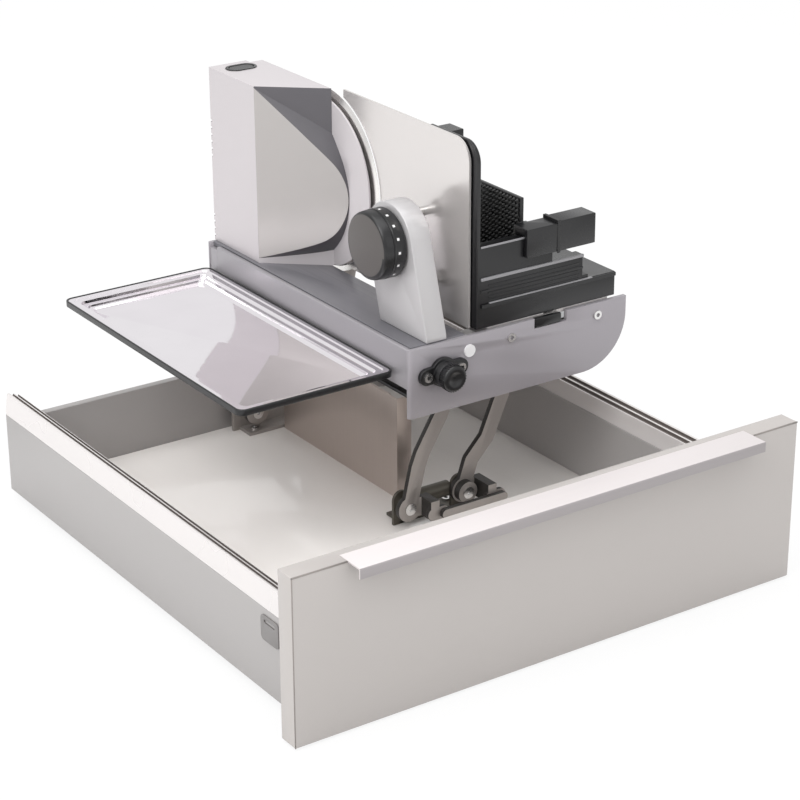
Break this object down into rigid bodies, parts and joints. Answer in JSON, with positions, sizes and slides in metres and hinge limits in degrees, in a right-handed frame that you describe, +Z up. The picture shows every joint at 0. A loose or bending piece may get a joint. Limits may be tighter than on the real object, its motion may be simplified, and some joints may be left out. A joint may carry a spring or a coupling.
{
  "type": "built-in food slicer in a drawer",
  "caption": "Drawer with a food slicer on swinging arms: the slicer lowers into the drawer, folds flat, and has a sliding carriage, thickness knob, blade and catch tray.",
  "frame": {"origin": "middle of the footprint, on the ground under the runner flanges", "axes": "+X to the right, +Y from the drawer front to the back, +Z up"},
  "size_m": [0.497, 0.545, 0.3758],
  "materials": {
    "zinc_steel": "zinc plated",
    "wall_sheet": "satin light grey",
    "rail_alu": "satin",
    "grey_plastic": "moulded",
    "front_lacquer": "lacquered board",
    "grip_metal": "brushed",
    "white_board": "coated board",
    "stainless": "brushed",
    "arm_metal": "satin grey",
    "base_paint": "metallic grey",
    "black_plastic": "moulded",
    "screw_steel": "bright",
    "white_cap": "gloss",
    "housing_paint": "metallic grey",
    "motor_steel": "plain",
    "board_green": "board",
    "blade_steel": "polished",
    "gear_plastic": "moulded",
    "pinion_brass": "plain",
    "mirror_steel": "polished"
  },
  "bodies": {
    "runners": {"cabinet_runners": "zinc_steel"},
    "middle": {"middle_runners": "zinc_steel"},
    "drawer": {"drawer_runners": "zinc_steel", "side_wall_left": "wall_sheet", "side_wall_right": "wall_sheet", "side_rails": "rail_alu", "front_brackets": "zinc_steel", "side_covers": "grey_plastic", "front_panel": "front_lacquer", "grip_strip": "grip_metal", "floor_panel": "white_board", "rear_panel": "wall_sheet", "divider_plate": "stainless", "front_foot_bracket": "arm_metal", "rear_foot_bracket": "arm_metal", "foot_screws": "screw_steel", "foot_pins": "screw_steel"},
    "arm_a": {"front_arm_a": "arm_metal", "rear_arm_a": "arm_metal"},
    "arm_b": {"front_arm_b": "arm_metal", "rear_arm_b": "arm_metal"},
    "link": {"front_link": "arm_metal"},
    "base": {"front_side_plate": "base_paint", "rear_side_plate": "base_paint", "left_rail": "rail_alu", "rail_block": "black_plastic", "tray_shelf": "black_plastic", "front_cross_beam": "zinc_steel", "rear_cross_beam": "zinc_steel", "top_pins": "screw_steel", "table_supports": "black_plastic", "base_screws": "screw_steel", "head_hinge_pins": "white_cap", "lock_housing": "black_plastic", "cable_gland": "black_plastic"},
    "lock": {"lock_knob": "black_plastic"},
    "latch": {"table_latch": "black_plastic"},
    "tray": {"slice_tray": "mirror_steel", "tray_frame": "black_plastic"},
    "head": {"head_plate": "rail_alu", "motor_cover": "housing_paint", "gear_housing": "housing_paint", "blade_guard": "housing_paint", "blade_axle": "screw_steel", "motor_can": "motor_steel", "control_board": "board_green", "knob_arm": "housing_paint", "switch_ring": "black_plastic"},
    "blade": {"blade": "blade_steel", "blade_gear": "gear_plastic", "blade_screws": "screw_steel"},
    "pinion": {"motor_pinion": "pinion_brass"},
    "stop": {"stop_plate": "stainless", "stop_guide_rods": "screw_steel"},
    "knob": {"thickness_knob": "black_plastic"},
    "button": {"switch_button": "black_plastic"},
    "guide": {"carriage_guide": "rail_alu"},
    "carriage": {"carriage": "black_plastic"},
    "pusher": {"pusher": "black_plastic"}
  },
  "joints": [
    {"name": "drawer_slide", "type": "slide", "parent": "runners", "child": "drawer", "axis": [0, -1, 0], "range_m": [0, 0.45]},
    {"name": "middle_slide", "type": "slide", "parent": "runners", "child": "middle", "axis": [0, -1, 0], "range_m": [0, 0.225]},
    {"name": "lift", "type": "hinge", "parent": "drawer", "child": "arm_a", "pos_m": [0.019, -0.0195, 0.034], "axis": [0, -1, 0], "range_deg": [0, 106.9]},
    {"name": "arm_b_swing", "type": "hinge", "parent": "drawer", "child": "arm_b", "pos_m": [0.081, -0.0195, 0.034], "axis": [0, -1, 0], "range_deg": [0, 106.9]},
    {"name": "base_level", "type": "hinge", "parent": "arm_a", "child": "base", "pos_m": [0.07006, -0.0195, 0.16102], "axis": [0, -1, 0], "range_deg": [-106.9, 0]},
    {"name": "link_level", "type": "hinge", "parent": "arm_a", "child": "link", "pos_m": [0.044, -0.0195, 0.0306], "axis": [0, -1, 0], "range_deg": [-106.9, 0]},
    {"name": "tray_off", "type": "slide", "parent": "base", "child": "tray", "axis": [-1, 0, 0], "range_m": [0, 0.2]},
    {"name": "lock_pull", "type": "slide", "parent": "base", "child": "lock", "axis": [0, -1, 0], "range_m": [0, 0.008], "stiffness_N_per_m": 400},
    {"name": "latch_slide", "type": "slide", "parent": "base", "child": "latch", "axis": [1, 0, 0], "range_m": [0, 0.006]},
    {"name": "head_fold", "type": "hinge", "parent": "base", "child": "head", "pos_m": [0.044, -0.0195, 0.19602], "axis": [0, 1, 0], "range_deg": [0, 90]},
    {"name": "guide_shift", "type": "slide", "parent": "base", "child": "guide", "axis": [0.979, 0, 0.2038], "range_m": [0, 0.32]},
    {"name": "carriage_slide", "type": "slide", "parent": "guide", "child": "carriage", "axis": [0, 1, 0], "range_m": [0, 0.185]},
    {"name": "pusher_slide", "type": "slide", "parent": "carriage", "child": "pusher", "axis": [1, 0, 0], "range_m": [-0.044, 0.015]},
    {"name": "blade_spin", "type": "hinge", "parent": "head", "child": "blade", "pos_m": [0.045, 0.157, 0.28602], "axis": [1, 0, 0], "continuous": true},
    {"name": "pinion_spin", "type": "hinge", "parent": "head", "child": "pinion", "pos_m": [0.04, 0.19168, 0.29202], "axis": [1, 0, 0], "continuous": true},
    {"name": "knob_turn", "type": "hinge", "parent": "head", "child": "knob", "pos_m": [0, -0.013, 0.28452], "axis": [1, 0, 0], "range_deg": [0, 300]},
    {"name": "stop_slide", "type": "slide", "parent": "head", "child": "stop", "axis": [-1, 0, 0], "range_m": [0, 0.014]},
    {"name": "button_press", "type": "slide", "parent": "head", "child": "button", "axis": [0, 0, -1], "range_m": [0, 0.0015], "stiffness_N_per_m": 300, "springref_m": -0.001}
  ],
  "couplings": [
    {"joint": "middle_slide", "follows": "drawer_slide", "ratio": 0.5},
    {"joint": "arm_b_swing", "follows": "lift", "ratio": 1},
    {"joint": "base_level", "follows": "lift", "ratio": -1},
    {"joint": "link_level", "follows": "lift", "ratio": -1},
    {"joint": "tray_off", "follows": "lift", "m_per_rad": 0.1071},
    {"joint": "head_fold", "follows": "guide_shift", "rad_per_m": 4.9087},
    {"joint": "pinion_spin", "follows": "blade_spin", "ratio": -4},
    {"joint": "stop_slide", "follows": "knob_turn", "m_per_rad": 0.00267}
  ]
}
